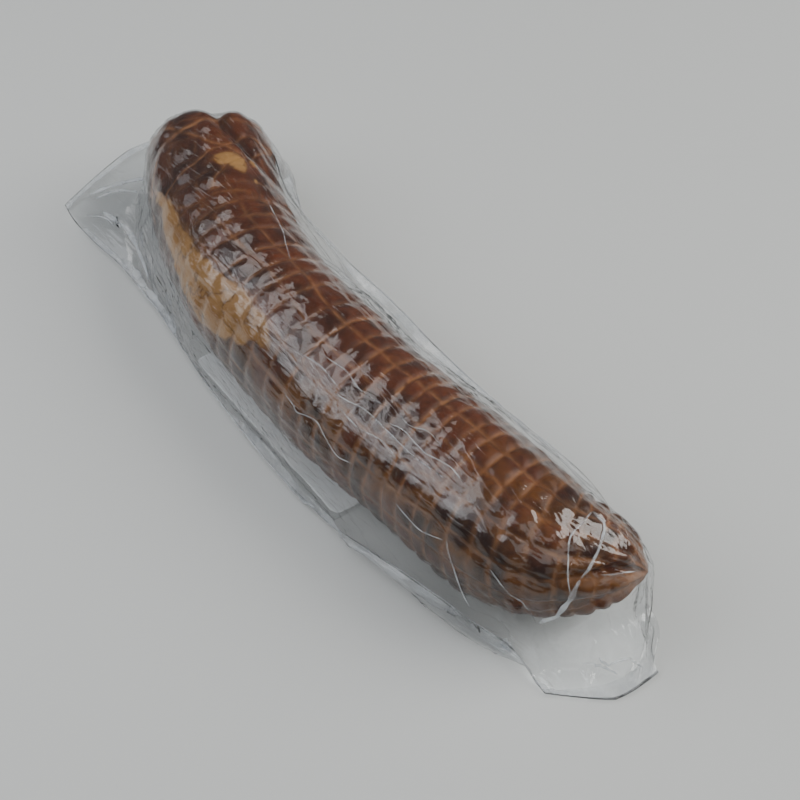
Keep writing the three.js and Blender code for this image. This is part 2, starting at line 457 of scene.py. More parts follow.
@dataclass(frozen=True)
class ClearFilm:
    """Finish of the pouch: clear film with fine creases, which lets most of the lamps' light through."""

    colour: tuple = rgb(0.98, 0.985, 0.99)
    shadow: tuple = rgb(0.93, 0.935, 0.94)
    roughness: float = 0.05
    index: float = 1.46
    gloss: float = 0.24

    def material(self) -> bpy.types.Material:
        """Builds the material.

        Returns:
            The material.
        """
        shader = Shader("clear_film")
        creases = shader.times(shader.seam(shader.grain(105, 2, 1.0, (0.22, 1.0, 1.0)), 0.07), 0.5)
        height = shader.math("ADD", creases, shader.grain(190, 2, 4.0, (0.4, 1.0, 1.0)))
        film = shader.principled(
            {
                "Base Color": self.colour,
                "Roughness": self.roughness,
                "IOR": self.index,
                "Transmission Weight": 1.0,
                "Specular IOR Level": self.gloss,
                "Normal": shader.bump(height, 0.45 * MM, 0.46),
            }
        )
        clear = shader.add("ShaderNodeBsdfTransparent")
        clear.inputs["Color"].default_value = self.shadow
        choose = shader.add("ShaderNodeMixShader")
        shader.link(shader.add("ShaderNodeLightPath").outputs["Is Shadow Ray"], choose.inputs["Fac"])
        shader.link(film, choose.inputs[1])
        shader.link(clear.outputs[0], choose.inputs[2])
        return shader.finished(choose.outputs[0])


@dataclass(frozen=True)
class HazeAndPaintedGlintFilm:
    """Finish of film that is doubled, sealed or pinched: whiter and glossy, but still seen through. On the
    pinched pleats and seam welts its whitish colour is painted highlight, standing in for the bright glints
    that the film's folds catch from the lamps; on the heat seals it is the whiter look of sealed film.
    """

    cover: float
    name: str
    bright: tuple = rgb(0.80, 0.84, 0.87)
    dull: tuple = rgb(0.60, 0.64, 0.68)
    roughness: float = 0.16

    def material(self) -> bpy.types.Material:
        """Builds the material.

        Returns:
            The material.
        """
        shader = Shader(self.name)
        # Streaks of whiter and greyer tone: painted highlight streaks on the pleats, haze streaks on the
        # seals.
        streak = shader.remap(shader.grain(120, 3, 2.0, (0.3, 1.0, 1.0)), 0.35, 0.65)
        patchy = shader.remap(shader.grain(85, 3, 6.0), 0.35, 0.65, 0.35 * self.cover, 1.5 * self.cover)
        film = shader.principled(
            {
                "Base Color": shader.mix(streak, self.bright, self.dull),
                "Roughness": self.roughness,
                "Alpha": patchy,
                "Normal": shader.bump(shader.grain(300, 2, 3.0), 0.3 * MM, 0.4),
            }
        )
        return shader.finished(film)


@dataclass(frozen=True)
class WhitePaper:
    """Finish of the blank label: bright coated paper with faint fibres."""

    colour: tuple = rgb(0.91, 0.95, 0.97)
    shade: tuple = rgb(0.85, 0.90, 0.93)
    roughness: float = 0.45

    def material(self) -> bpy.types.Material:
        """Builds the material.

        Returns:
            The material.
        """
        shader = Shader("white_paper")
        cloudy = shader.remap(shader.grain(60, 3, 1.0), 0.3, 0.7)
        paper = shader.principled(
            {
                "Base Color": shader.mix(cloudy, self.colour, self.shade),
                "Roughness": self.roughness,
                "Normal": shader.bump(shader.grain(900, 2, 2.0), 0.05 * MM),
            }
        )
        return shader.finished(paper)


@dataclass(frozen=True)
class PaleFloor:
    """Finish of the floor: plain, pale and dull."""

    colour: tuple = rgb(0.66, 0.68, 0.675)
    roughness: float = 0.55

    def material(self) -> bpy.types.Material:
        """Builds the material."""
        shader = Shader("pale_floor")
        return shader.finished(shader.principled({"Base Color": self.colour, "Roughness": self.roughness}))


# ---- the sausage --------------------------------------------------------------------


@dataclass
class Sausage:
    """The smoked sausage: a bent body with a two-lobed blunt end, a pleated taper and net marks.

    Lengths are in millimetres, laid out as the pack is before the frame says where it lies.
    """

    middle_line: tuple = ((-221, 8), (-165, -23), (-90, -44), (0, -47), (90, -39), (165, -26), (215, 8))
    radii: tuple = ((0, 41), (0.3, 43), (0.5, 44), (0.7, 44.5), (0.85, 45.5), (1, 45.5))
    blunt_length: float = 26.0
    blunt_power: float = 1.9
    taper_length: float = 90.0
    taper_power: float = 1.5
    tip_rise: float = 3.0
    rest_height: float = 1.5
    flattening: float = 2.0
    rings: int = 420
    sides: int = 228
    net_lines_round: int = 17
    groove_width: float = 1.9
    mark_width: float = 1.25
    cap_groove: float = 4.0
    gathers: tuple = (
        (128, 16, 10.0, 3.4),
        (96, 0, 3.6, 2.8),
        (62, 0, 3.8, 3.0),
        (25, 0, 4.4, 3.2),
        (335, 0, 3.8, 3.2),
        (285, 0, 3.8, 3.2),
        (235, 0, 4.4, 3.2),
        (182, 0, 4.0, 3.0),
    )
    bare_spots: tuple = ((66, 79, 7.5, 0.8), (71, 71, 6.0, 1.5), (68, 51, 4.5, 1.0), (88, 60, 3.0, 2.0))
    amber_spots: tuple = ((262, 132, 9.0), (243, 150, 8.0), (268, 168, 7.0), (71, 88, 6.0))
    amber_edge: float = 134.0
    shift: np.ndarray = field(default_factory=lambda: np.zeros(3))

    def __post_init__(self) -> None:
        """Works out the middle line and where the frame puts it."""
        line = smooth_curve(np.array(self.middle_line, float), 2000)
        self.passed = lengths_along(line)
        self.line = line
        self.along_line = np.gradient(line, axis=0)
        self.along_line /= np.linalg.norm(self.along_line, axis=1)[:, None]
        self.length = self.passed[-1]
        low = np.array(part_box("sausage")[0]) / MM
        plain = self.plain_skin(*self.lattice(120, 96))
        self.shift = np.array([low[0] - plain[..., 0].min(), low[1] - plain[..., 1].min(), 0.0])

    def lattice(self, rings: int, sides: int) -> tuple[np.ndarray, np.ndarray]:
        """Distances along the sausage and angles round it, the rings closer at the ends.

        Args:
            rings: how many steps along it.
            sides: how many steps round it.

        Returns:
            Two grids, of distance in millimetres and of angle.
        """
        even = np.linspace(0.0, 1.0, rings + 1)
        eased = (1 - np.cos(math.pi * even)) / 2
        distance = (0.72 * even + 0.28 * eased) * self.length
        angle = np.linspace(0.0, FULL_TURN, sides + 1) - math.pi / 2
        return np.meshgrid(distance, angle, indexing="ij")

    def taper(self, distance: np.ndarray) -> np.ndarray:
        """Share of the way from where the taper starts to the tip."""
        return np.clip(1 - (self.length - distance) / self.taper_length, 0.0, 1.0)

    def full_radius(self, distance: np.ndarray) -> np.ndarray:
        """Radius that the body has at a distance along it, were its ends not closed."""
        return np.interp(distance / self.length, *np.array(self.radii, float).T)

    def radius(self, distance: np.ndarray) -> np.ndarray:
        """Radius of the plain body.

        Args:
            distance: millimetres along it.

        Returns:
            Radii in millimetres, down to 0 at both ends.
        """
        blunt = np.clip(1 - distance / self.blunt_length, 0.0, 1.0)
        rounding = (1 - blunt**self.blunt_power) ** (1 / self.blunt_power)
        tapering = np.sqrt(np.clip(1 - self.taper(distance) ** self.taper_power, 0.0, 1.0))
        return self.full_radius(distance) * rounding * tapering

    def axes(self, distance: np.ndarray) -> tuple[np.ndarray, np.ndarray, np.ndarray]:
        """Middle point, direction along and direction across at a distance.

        Args:
            distance: millimetres along the middle line.

        Returns:
            Three arrays of x, y, z.
        """
        x, y = (np.interp(distance, self.passed, column) for column in self.line.T)
        along_x, along_y = (np.interp(distance, self.passed, column) for column in self.along_line.T)
        height = self.rest_height + self.full_radius(distance) - self.flattening
        height = height + self.tip_rise * self.taper(distance) ** 2
        level = np.zeros_like(height)
        centre = np.stack([x, y, height], axis=-1)
        along = np.stack([along_x, along_y, level], axis=-1)
        across = np.stack([-along_y, along_x, level], axis=-1)
        return centre + self.shift, along, across

    def outward(self, across: np.ndarray, angle: np.ndarray) -> np.ndarray:
        """Direction straight out of the body at an angle round it."""
        return across * np.cos(angle)[..., None] + UPWARD * np.sin(angle)[..., None]

    def plain_skin(self, distance: np.ndarray, angle: np.ndarray) -> np.ndarray:
        """The smooth body before its marks, flat where it rests.

        Args:
            distance: millimetres along it.
            angle: turn round it, 0 at +Y and a quarter turn at the top.

        Returns:
            Points in millimetres.
        """
        centre, _, across = self.axes(distance)
        points = centre + self.radius(distance)[..., None] * self.outward(across, angle)
        points[..., 2] = np.maximum(points[..., 2], self.rest_height)
        return points

    def uneven_places(self, spacings: tuple, span: float, seed: int) -> tuple[np.ndarray, np.ndarray]:
        """Uneven places along a span, each with a strength.

        Args:
            spacings: rows of share of the span and usual spacing there.
            span: the span's length.
            seed: makes the unevenness repeat.

        Returns:
            The places and their strengths from 0 to 1.
        """
        chance = np.random.default_rng(seed)
        places = [chance.uniform(0.2, 0.6) * spacings[0][1]]
        while places[-1] < span:
            usual = np.interp(places[-1] / span, *np.array(spacings).T)
            places.append(places[-1] + usual * chance.uniform(0.78, 1.24))
        places = np.array(places)
        return places, chance.uniform(0.45, 1.0, len(places))

    def nearest_place(self, value: np.ndarray, places: np.ndarray, strengths: np.ndarray) -> tuple:
        """Finds the nearest of some places.

        Args:
            value: where to look from.
            places: the places, in rising order.
            strengths: how strong each one is.

        Returns:
            The distance to the nearest place, and that one's strength.
        """
        after = np.clip(np.searchsorted(places, value), 1, len(places) - 1)
        before = after - 1
        nearer = np.where(value - places[before] < places[after] - value, before, after)
        return np.abs(value - places[nearer]), strengths[nearer]

    def net_lines(self, distance: np.ndarray, angle: np.ndarray, points: np.ndarray) -> dict[str, tuple]:
        """How far each skin point lies from the marks that the net left, and how strong they are.

        Args:
            distance: millimetres along the sausage.
            angle: turn round it.
            points: the plain skin.

        Returns:
            Distance in millimetres and strength for the rings, the lengthwise lines and the
            slanting lines of the blunt end.
        """
        slow = noise_at(points, 60.0, 1.0)
        quick = noise_at(points, 16.0, 2.0)
        slack = smooth_step(250.0, 90.0, distance)
        warped = distance + (3.0 + 6.0 * slack) * slow + 1.6 * quick + 2.6 * np.sin(angle + 0.6)
        spacings = ((0, 18), (0.2, 16), (0.45, 14.5), (0.72, 12.5), (0.92, 10.5), (1, 9))
        ring = self.nearest_place(warped, *self.uneven_places(spacings, self.length + 12, 5))
        turned = (angle / FULL_TURN) % 1.0
        wander = 0.018 * slow + 0.006 * quick + 0.022 * slack * np.sin(distance / 31.0 + 2.0)
        share = (turned + wander) % 1.0
        rows, strengths = self.uneven_places(((0, 1.0), (1, 1.0)), float(self.net_lines_round), 9)
        rows = np.sort(rows % self.net_lines_round) / self.net_lines_round
        rows = np.concatenate([[rows[-1] - 1], rows, [rows[0] + 1]])
        strengths = np.concatenate([[strengths[-1]], strengths, [strengths[0]]])
        apart, line_strength = self.nearest_place(share, rows, strengths)
        lengthwise = (apart * FULL_TURN * self.radius(distance), line_strength)
        slants = []
        for count, pitch, turn in ((3, 44.0, 0.1), (-4, 51.0, 0.45), (2, -70.0, 0.3)):
            phase = distance / pitch + count * angle / FULL_TURN + 0.5 * slow + 0.12 * quick + turn
            slope = np.hypot(1 / pitch, count / (FULL_TURN * np.maximum(self.radius(distance), 8.0)))
            slants.append(np.abs((phase + 0.5) % 1.0 - 0.5) / slope)
        slant = (np.min(slants, axis=0), 0.55 + 0.45 * np.clip(1.5 * slow + 0.5, 0, 1))
        return {"ring": ring, "lengthwise": lengthwise, "slant": slant}

    def off_angle(self, distance: np.ndarray, angle: np.ndarray, degrees: np.ndarray) -> np.ndarray:
        """Distance round the skin from a line of given angles, in millimetres."""
        apart = (np.degrees(angle) - degrees + 180) % 360 - 180
        return np.radians(apart) * np.maximum(self.radius(distance), 11.0)

    def bare_patch(self, distance: np.ndarray, angle: np.ndarray, points: np.ndarray) -> np.ndarray:
        """Share of bare, unsmoked skin: one long patch on the flank and small ones at the blunt end.

        Args:
            distance: millimetres along the sausage.
            angle: turn round it.
            points: the plain skin.

        Returns:
            Shares from 0 to 1.
        """
        degrees = np.degrees(angle) % 360
        ragged = 3.2 * noise_at(points, 9.0, 6.0)
        stations = [57, 66, 78, 97, 125, 150, 172, 192, 208]
        upper = np.interp(distance, stations, [153, 148, 141, 136, 132, 125, 120, 121, 130])
        lower = np.interp(distance, stations, [154, 157, 157, 161, 169, 176, 168, 150, 136])
        inside = np.minimum(degrees - upper, lower - degrees) * math.radians(1) * 43
        ends = np.minimum(distance - stations[0], stations[-1] - distance)
        patch = smooth_step(-3.5, 4.5, np.minimum(inside, ends) + ragged)
        for spot, turn, size, long in self.bare_spots:
            off = np.hypot((distance - spot) / long, self.off_angle(distance, angle, turn)) + ragged
            patch = np.maximum(patch, 0.84 * smooth_step(1.6 * size, 0.5 * size, off))
        return patch

    def tints(self, distance: np.ndarray, angle: np.ndarray, points: np.ndarray) -> dict[str, np.ndarray]:
        """Where the skin is redder and where it is amber.

        Args:
            distance: millimetres along the sausage.
            angle: turn round it.
            points: the plain skin.

        Returns:
            Named shares from 0 to 1.
        """
        cloud = noise_at(points, 26.0, 7.0)
        degrees = np.degrees(angle) % 360
        top = np.exp(-(((degrees - 62) / 46) ** 2)) * smooth_step(440.0, 330.0, distance)
        flank = np.exp(-(((degrees - 150) / 24) ** 2)) * smooth_step(120.0, 210.0, distance)
        edge = ridge(self.off_angle(distance, angle, self.amber_edge), 9.0) * smooth_step(60, 90, distance)
        far = 0.55 * smooth_step(340.0, 400.0, distance)
        amber = np.clip(np.maximum(np.maximum(flank, 0.7 * edge), far) + 0.5 * cloud, 0.0, 1.0)
        for spot, turn, size in self.amber_spots:
            off = np.hypot(distance - spot, self.off_angle(distance, angle, turn)) + 4.0 * cloud
            amber = np.maximum(amber, smooth_step(size + 4, size - 4, off))
        return {"redness": np.clip(top + 0.6 * cloud, 0.0, 1.0), "amber": amber}

    def relief(
        self, distance: np.ndarray, angle: np.ndarray, points: np.ndarray
    ) -> tuple[np.ndarray, np.ndarray]:
        """How far the marked skin stands off the plain one, and how strongly the net shows.

        Args:
            distance: millimetres along the sausage.
            angle: turn round it.
            points: the plain skin.

        Returns:
            Heights in millimetres, and net shares from 0 to 1.
        """
        lines = self.net_lines(distance, angle, points)
        ring, ring_strength = lines["ring"]
        row, row_strength = lines["lengthwise"]
        slant, slant_strength = lines["slant"]
        blunt_zone = smooth_step(150.0, 70.0, distance)
        grid_zone = 1 - 0.72 * blunt_zone
        far_end = smooth_step(300.0, 410.0, distance)
        ring_deep = grid_zone * ring_strength * ridge(ring, self.groove_width)
        row_deep = grid_zone * (0.45 + 0.9 * far_end) * ridge(row, self.groove_width + 0.5 * far_end)
        slant_deep = 0.8 * blunt_zone * slant_strength * ridge(slant, self.groove_width)
        grooves = np.maximum(np.maximum(ring_deep, row_deep), slant_deep)
        puffs = (1 - np.exp(-ring / 3.4)) * (1 - np.exp(-row / 4.2))
        stations = [0, 150, 300, 370, 420, self.length]
        puff_height = np.interp(distance, stations, [0.7, 0.9, 1.1, 1.7, 2.3, 1.9])
        lumps = noise_at(points, 46.0, 3.0) * 1.5 + noise_at(points, 15.0, 4.0) * 0.5
        lumps = lumps + noise_at(points, 5.0, 5.0) * 0.14
        height = lumps + puffs * puff_height - 1.2 * grooves - 0.5
        broken = 0.55 + 0.45 * np.clip(1.6 * noise_at(points, 13.0, 8.0) + 0.6, 0, 1)
        ring_mark = grid_zone * ring_strength * ridge(ring, self.mark_width)
        row_mark = grid_zone * (0.75 * row_strength) * ridge(row, self.mark_width * 0.85)
        slant_mark = 1.1 * blunt_zone * slant_strength * ridge(slant, self.mark_width)
        marks = broken * np.maximum(np.maximum(ring_mark, row_mark), slant_mark)
        return height, marks

    def folds(self, distance: np.ndarray, angle: np.ndarray) -> np.ndarray:
        """Depth of the large folds: the cleft of the blunt end and the gathers of the tip.

        Args:
            distance: millimetres along the sausage.
            angle: turn round it.

        Returns:
            Depths in millimetres.
        """
        cleft = np.interp(distance, [0, 29, 54, 68, 90, 120], [84, 80, 56, 45, 32, 22])
        deep = np.interp(distance, [0, 12, 30, 60, 130], [3.0, 4.0, 5.5, 4.5, 0.0])
        wide = np.interp(distance, [0, 20, 60], [8.0, 6.0, 4.5])
        depth = deep * ridge(self.off_angle(distance, angle, cleft), wide)
        crack = self.off_angle(distance, angle, cleft - 3)
        cracked = smooth_step(110.0, 60.0, distance) * smooth_step(6.0, 30.0, distance)
        depth += 2.2 * cracked * ridge(crack, 1.6)
        under = self.off_angle(distance, angle, np.interp(distance, [0, 40, 110], [262, 255, 235]))
        depth += 3.5 * smooth_step(90.0, 10.0, distance) * ridge(under, 5.0)
        tip = self.taper(distance)
        for turn, lean, deep, wide in self.gathers:
            bent = turn + lean * smooth_step(self.length - 2, self.length - 34, distance)
            off = self.off_angle(distance, angle, bent)
            depth += deep * smooth_step(0.40, 0.90, tip) * ridge(off, wide)
        return depth

    def skin(self, distance: np.ndarray, angle: np.ndarray) -> tuple[np.ndarray, np.ndarray]:
        """The marked skin.

        Args:
            distance: millimetres along the sausage.
            angle: turn round it.

        Returns:
            Points in millimetres, and net shares.
        """
        plain = self.plain_skin(distance, angle)
        centre, along, across = self.axes(distance)
        roundness = np.clip(self.radius(distance) / self.full_radius(distance), 0.0, 1.0)
        lean = 0.9 * np.sqrt(1 - roundness**2) * np.where(distance < self.length / 2, -1.0, 1.0)
        normal = self.outward(across, angle) * np.sqrt(1 - lean**2)[..., None] + along * lean[..., None]
        height, marks = self.relief(distance, angle, plain)
        height = height * smooth_step(0.0, 0.35, roundness)
        folded = self.folds(distance, angle) * smooth_step(0.0, 0.25, roundness)
        side = np.cos(angle - math.radians(-8)) * roundness
        cap_groove = self.cap_groove * smooth_step(34.0, 0.0, distance) * ridge(side * 40, 8.0)
        points = plain + normal * (height - folded)[..., None] + along * cap_groove[..., None]
        resting = smooth_step(5.0, 1.0, plain[..., 2])
        points[..., 2] = np.maximum(points[..., 2], self.rest_height + 0.6 * (1 - resting))
        return points, marks

    def closed_skin(self, rings: int, sides: int) -> tuple[np.ndarray, dict[str, np.ndarray]]:
        """The marked skin as a grid that closes on itself, with the numbers its finish reads.

        Args:
            rings: steps along it.
            sides: steps round it.

        Returns:
            Points in millimetres and named grids of numbers.
        """
        distance, angle = self.lattice(rings, sides)
        points, marks = self.skin(distance, angle)
        points[:, -1] = points[:, 0]
        points[0] = points[0].mean(axis=0)
        points[-1] = points[-1].mean(axis=0)
        plain = self.plain_skin(distance, angle)
        values = {"net": marks, "bare": self.bare_patch(distance, angle, plain)}
        values.update(self.tints(distance, angle, plain))
        for numbers in values.values():
            numbers[:, -1] = numbers[:, 0]
        return points, values

    def build(self) -> bpy.types.Object:
        """Models the sausage and stands it in for the plain one."""
        points, values = self.closed_skin(self.rings, self.sides)
        piece = grid_piece("smoked_sausage", points * MM, closed=True, values=values)
        dress(piece, SmokedSkin().material(), "sausage")
        return piece


# ---- the label -----------------------------------------------------------------------


@dataclass
class Label:
    """The blank paper label, which lies in the pouch under the sausage's outer flank.

    Lengths are in millimetres, in the same layout as the sausage.
    """

    sausage: Sausage
    start_x: float = -95.0
    outer_y: float = -88.0
    length: float = 148.0
    width: float = 105.0
    corner: float = 5.0
    height: float = 0.95
    thickness: float = 0.2
    lift: float = 1.6
    lift_reach: float = 9.0
    steps: tuple[int, int] = (112, 80)

    def grid(self) -> np.ndarray:
        """Lays points over the label, with rounded corners and its outer edge slightly lifted.

        Returns:
            Rows by columns by x, y, z in millimetres.
        """
        down = np.linspace(0.0, self.width, self.steps[1])
        edge = np.minimum(down, self.width - down)
        rounding = self.corner**2 - np.clip(self.corner - edge, 0, None) ** 2
        short = self.corner - np.sqrt(np.clip(rounding, 0, None))
        share = np.linspace(0.0, 1.0, self.steps[0])[:, None]
        x = self.start_x + short + (self.length - 2 * short) * share
        y = self.outer_y + np.broadcast_to(down, x.shape)
        lift = self.lift * np.exp(-((down / self.lift_reach) ** 2))
        wave = 0.45 * np.sin(x / 17.0) * np.exp(-((down / 14.0) ** 2))
        z = self.height + lift * (0.75 + 0.25 * np.sin(x / 31.0 + 1)) + np.clip(wave, -0.3, None)
        return np.stack([x, y, z], axis=-1) + self.sausage.shift

    def build(self) -> bpy.types.Object:
        """Models the label and stands it in for the plain one."""
        piece = grid_piece("blank_label", self.grid() * MM)
        thicken(piece, self.thickness)
        dress(piece, WhitePaper().material(), "label")
        return piece


# ---- the pouch -----------------------------------------------------------------------


@dataclass(frozen=True)
class VacuumDraw:
    """How the pouch's films are drawn on to what they wrap, by a cloth simulation.

    It runs on a larger copy, because the cloth solver is made for things about a metre across.
    """

    enlarged: float = 10.0
    frames: int = 18
    pressure: float = -5.0
    slack: float = 0.03
    bending: float = 0.08
    clearance: float = 0.4

    def collider(self, name: str, points: np.ndarray, closed: bool) -> bpy.types.Object:
        """A copy of a surface for the film to rest on.

        Args:
            name: its name while the simulation runs.
            points: its grid of points, in millimetres.
            closed: whether the grid closes on itself.

        Returns:
            The collider.
        """
        piece = grid_piece(name, points * MM * self.enlarged, closed=closed)
        piece.modifiers.new("collision", "COLLISION")
        piece.collision.thickness_outer = self.clearance * MM * self.enlarged
        piece.collision.cloth_friction = 2
        return piece

    def draw(self, grid: np.ndarray, held: np.ndarray, colliders: list, side: float) -> np.ndarray:
        """Draws a film tight and gives its new shape.

        Args:
            grid: the film's points, in millimetres.
            held: which points stay where they are.
            colliders: what it rests on.
            side: 1 where the film is drawn against its normal, or -1.

        Returns:
            The film's new points, in millimetres.
        """
        film = grid_piece("drawn_film", grid * MM * self.enlarged)
        pins = film.vertex_groups.new(name="held")
        pins.add(np.flatnonzero(held.reshape(-1)).tolist(), 1.0, "REPLACE")
        cloth = film.modifiers.new("cloth", "CLOTH")
        settings = cloth.settings
        settings.quality = 6
        settings.mass = 0.2
        settings.tension_stiffness = settings.compression_stiffness = 40
        settings.shear_stiffness = 20
        settings.bending_stiffness = self.bending
        settings.bending_damping = 0.5
        settings.air_damping = 2
        settings.vertex_group_mass = "held"
        settings.use_pressure = True
        settings.uniform_pressure_force = self.pressure * side
        settings.shrink_min = settings.shrink_max = -self.slack
        settings.effector_weights.gravity = 0
        cloth.collision_settings.distance_min = self.clearance * MM * self.enlarged
        cloth.collision_settings.collision_quality = 3
        cloth.point_cache.frame_end = self.frames
        scene = bpy.context.scene
        scene.frame_start = 1
        scene.frame_end = self.frames
        for moment in range(1, self.frames + 1):
            scene.frame_set(moment)
        drawn = film.evaluated_get(bpy.context.evaluated_depsgraph_get()).to_mesh()
        places = np.empty(len(drawn.vertices) * 3)
        drawn.vertices.foreach_get("co", places)
        scene.frame_set(1)
        for piece in (film, *colliders):
            mesh = piece.data
            bpy.data.objects.remove(piece)
            bpy.data.meshes.remove(mesh)
        return places.reshape(grid.shape) / (MM * self.enlarged)


@dataclass
class Pouch:
    """The clear vacuum pouch: two films drawn tight over the sausage and pinched together at their edges.

    Lengths are in millimetres, in the same layout as the sausage. Each line runs across the pouch
    from its left seam to its right seam, with how far its middle bows towards the tip.
    """

    sausage: Sausage
    label: Label
    lines: tuple = (
        ((-256, -83, 2), (-262, 36, 5), -14),
        ((-240, -86, 3), (-243, 37, 16), -8),
        ((-215, -86, 4), (-217, 37, 32), -2),
        ((-186, -84, 5), (-188, 32.5, 44), 0),
        ((-142, -85, 4), (-142, 15.5, 45), 0),
        ((-90, -91.5, 4), (-85, 12.5, 45), 0),
        ((-40, -96, 4), (-35, 14.5, 45), 0),
        ((10, -97.5, 4), (15, 14.5, 45), 0),
        ((55, -95, 4), (60, 16, 45), 0),
        ((95, -90.5, 4), (100, 20, 45), 0),
        ((135, -82, 4), (138, 24, 45), 0),
        ((163, -74.5, 4), (166, 20, 47), 0),
        ((180, -66.5, 4), (191, 14.5, 46), 0),
        ((189, -64, 4), (206, 11, 42), 0),
        ((195, -64, 4), (209, 8.5, 31), 0),
        ((201, -64.3, 3.5), (210.5, 5.5, 19), 1),
        ((207, -65, 3), (213, 3.5, 10), 3),
        ((212, -65.5, 2.5), (221, 1.5, 7), 6),
        ((217, -66, 2), (233, -2.5, 4.5), 10),
        ((220.5, -66.2, 2), (247.5, -7.4, 2), 13),
    )
    curl_stations: tuple = ((60, 0), (85, 7), (110, 11), (150, 11), (172, 6), (190, 1.5), (215, 0))
    stations: int = 330
    points_across: int = 142
    drawn_grid: tuple[int, int] = (216, 92)
    thickness: float = 0.12
    gap: float = 0.35
    tent_reach: float = 24.0
    fillet: float = 9.0
    zigzag: float = 0.6
    swells: tuple = (
        (((-223, -66), (-200, -62), (-160, -69), (-121, -80)), 4.0, 3.0),
        (((-235, -60), (-222, -59), (-214, -68)), 2.5, 2.2),
        (((-250, -30), (-236, -12), (-232, 6)), 3.5, 2.2),
        (((175, -63), (190, -62), (204, -60), (221, -62)), 2.6, 3.2),
        (((185, -53), (199, -50), (226, -55)), 2.4, 2.0),
        (((214, -24), (225, -26), (243, -16)), 3.0, 3.0),
        (((209, -22), (218, -34), (228, -41)), 2.6, 2.6),
    )

    def __post_init__(self) -> None:
        """Samples the skin that the films lie on, and the seams."""
        cloud, _ = self.sausage.skin(*self.sausage.lattice(230, 150))
        self.cloud = cloud.reshape(-1, 3)
        self.space_lines(self.stations, self.points_across)

    def space_lines(self, stations: int, points_across: int) -> None:
        """Spreads a number of even lines across the pouch.

        Args:
            stations: how many lines.
            points_across: how many points each one has.
        """
        self.grid_size = (stations, points_across)
        layout = np.array([[left, right] for left, right, _ in self.lines], float)
        line_count = len(self.lines)
        dense = smooth_curve(layout.reshape(line_count, 6), 3000)
        numbers = np.linspace(0, line_count - 1, 3000)
        bows = np.interp(numbers, np.arange(line_count), [bow for *_, bow in self.lines])
        middle = (dense[:, :3] + dense[:, 3:]) / 2
        passed = lengths_along(middle)
        even = np.linspace(0.0, passed[-1], stations)
        seams = np.stack([np.interp(even, passed, column) for column in dense.T], axis=1)
        self.left = seams[:, :3] + self.sausage.shift
        self.right = seams[:, 3:] + self.sausage.shift
        self.bow = np.interp(even, passed, bows)
        self.curl = np.interp(seams[:, 0], *np.array(self.curl_stations, float).T)

    def line_x(self, station: int, y: np.ndarray) -> np.ndarray:
        """X of a line across the pouch.

        Args:
            station: the line's number.
            y: where along the line.

        Returns:
            One x for each y.
        """
        left, right = self.left[station], self.right[station]
        part = np.clip((y - left[1]) / (right[1] - left[1]), 0.0, 1.0)
        tent = 1 - np.abs(2 * part - 1) ** 1.3
        return left[0] + (right[0] - left[0]) * part + self.bow[station] * tent

    def section(self, station: int) -> np.ndarray:
        """Tight outline of the sausage at one line across the pouch.

        Args:
            station: the line's number.

        Returns:
            Rows of y, z, counter-clockwise, or no rows past the sausage's ends.
        """
        left, right = self.left[station], self.right[station]
        y, z = self.cloud[:, 1], self.cloud[:, 2]
        off = np.abs(self.cloud[:, 0] - self.line_x(station, y))
        near = off < self.tent_reach
        if near.sum() < 12:
            return np.zeros((0, 2))
        y, z, off = y[near], z[near], off[near]
        part = np.clip((y - left[1]) / (right[1] - left[1]), 0.0, 1.0)
        base = left[2] + (right[2] - left[2]) * part
        share = np.clip(1 - np.maximum(off - 1.5, 0.0) / (self.tent_reach - 1.5), 0.0, 1.0) ** 1.25
        flat = np.stack([y, base + (z - base) * share], axis=1)
        turn = np.linspace(0.0, FULL_TURN, 288, endpoint=False)
        reach = flat @ np.stack([np.cos(turn), np.sin(turn)])
        return flat[reach.argmax(axis=0)]

    def across(self, station: int, upper: bool) -> np.ndarray:
        """One film's path across the pouch, from left seam to right seam.

        Args:
            station: the line's number.
            upper: the upper film, or else the lower one.

        Returns:
            Rows of y, z at even steps.
        """
        left, right = self.left[station][1:], self.right[station][1:]
        points_across = self.grid_size[1]
        curl = self.curl[station]
        hem = [left + np.array([0.0, curl])] if curl > 0 else []
        if curl > 0:
            left = left + np.array([1.2 + 0.35 * curl, 1.2 - left[1]])
        outline = self.section(station)
        if not len(outline):
            return even_steps(np.array([*hem, left, right]), points_across)
        pinches = []
        for seam, drop in ((left, 10.0), (right, 0.0)):
            aim = seam - np.array([0.0, drop])
            foot = outline[np.linalg.norm(outline - aim, axis=1).argmin()]
            span = np.linalg.norm(seam - foot)
            pinches.append(foot + (seam - foot) * min(1.0, self.fillet / max(span, 0.1)))
        turn = np.linspace(0.0, FULL_TURN, 720, endpoint=False)
        corners = np.vstack([outline, pinches])
        reach = corners @ np.stack([np.cos(turn), np.sin(turn)])
        loop = corners[reach.argmax(axis=0)]
        start = np.linalg.norm(loop - pinches[0], axis=1).argmin()
        loop = np.roll(loop, -start, axis=0)
        stop = np.linalg.norm(loop - pinches[1], axis=1).argmin()
        chain = np.vstack([loop[stop:], loop[:1]])[::-1] if upper else loop[: stop + 1]
        path = np.vstack([*hem, left, chain, right])
        keep = np.concatenate([[True], np.linalg.norm(np.diff(path, axis=0), axis=1) > 1e-6])
        return even_steps(path[keep], points_across)

    def tight_film(self, upper: bool) -> np.ndarray:
        """Grid of points over one film, drawn straight from seam to seam over the sausage.

        Args:
            upper: the upper film, or else the lower one.

        Returns:
            Rows by columns by x, y, z in millimetres.
        """
        stations = self.grid_size[0]
        flat = np.array([self.across(station, upper) for station in range(stations)])
        for _ in range(4):
            flat[1:-1] = (flat[:-2] + 2 * flat[1:-1] + flat[2:]) / 4
        x = np.stack([self.line_x(station, flat[station, :, 0]) for station in range(stations)])
        points = np.stack([x, flat[..., 0], flat[..., 1]], axis=-1)
        return points + surface_normals(points) * (self.gap if upper else -self.gap)

